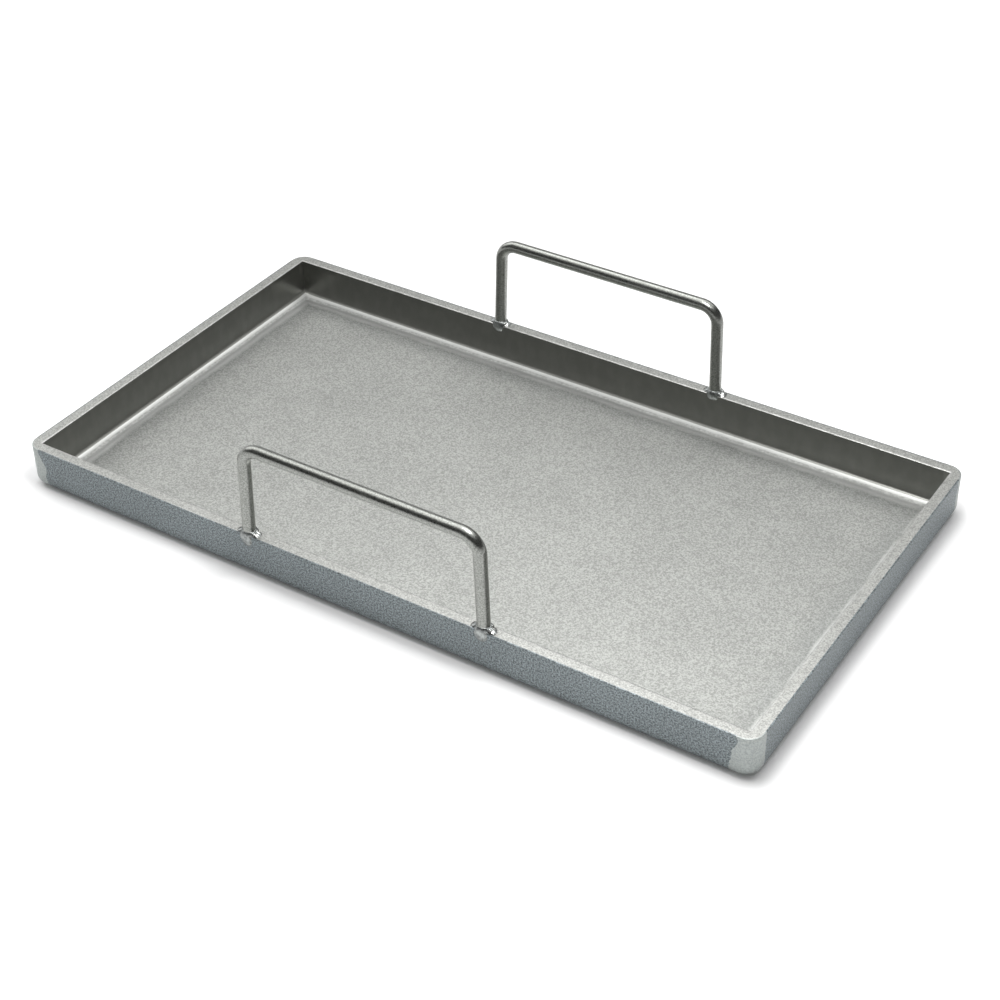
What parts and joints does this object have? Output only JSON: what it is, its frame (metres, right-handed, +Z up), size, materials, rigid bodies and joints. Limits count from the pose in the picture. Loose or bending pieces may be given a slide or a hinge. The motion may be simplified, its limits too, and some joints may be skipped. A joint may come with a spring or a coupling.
{
  "type": "flat top griddle",
  "caption": "Lift-on flat top griddle: rectangular steel cooking plate in a low welded bar wall, with an upright bent rod handle on each long side.",
  "frame": {"origin": "centre of the underside, on the surface that the griddle stands on", "axes": "+X along the long side, to the right seen from the front wall; +Y from the front wall to the back wall; +Z up"},
  "size_m": [0.61, 0.3466, 0.1133],
  "materials": {
    "plate_steel": "blasted satin grey steel with a fine bright sparkle",
    "wall_steel": "blasted blue-grey bar steel with lighter eased rim edges and smooth dark inner faces",
    "corner_weld_steel": "weld metal ground smooth and flush, lighter than the bars",
    "seam_weld_steel": "bright smooth fillet weld",
    "rod_steel": "drawn round rod, satin, darker than the plate",
    "handle_weld_steel": "rippled weld metal, dark at its edge and bright where it ends"
  },
  "bodies": {
    "root": {"griddle_plate": "plate_steel", "wall_front": "wall_steel", "wall_back": "wall_steel", "wall_left": "wall_steel", "wall_right": "wall_steel", "corner_weld_front_left": "corner_weld_steel", "corner_weld_front_right": "corner_weld_steel", "corner_weld_back_left": "corner_weld_steel", "corner_weld_back_right": "corner_weld_steel", "seam_weld_front": "seam_weld_steel", "seam_weld_back": "seam_weld_steel", "seam_weld_left": "seam_weld_steel", "seam_weld_right": "seam_weld_steel", "handle_front": "rod_steel", "handle_back": "rod_steel", "handle_weld_front_left_outer": "handle_weld_steel", "handle_weld_front_left_inner": "handle_weld_steel", "handle_weld_front_right_outer": "handle_weld_steel", "handle_weld_front_right_inner": "handle_weld_steel", "handle_weld_back_left_outer": "handle_weld_steel", "handle_weld_back_left_inner": "handle_weld_steel", "handle_weld_back_right_outer": "handle_weld_steel", "handle_weld_back_right_inner": "handle_weld_steel"}
  },
  "joints": []
}
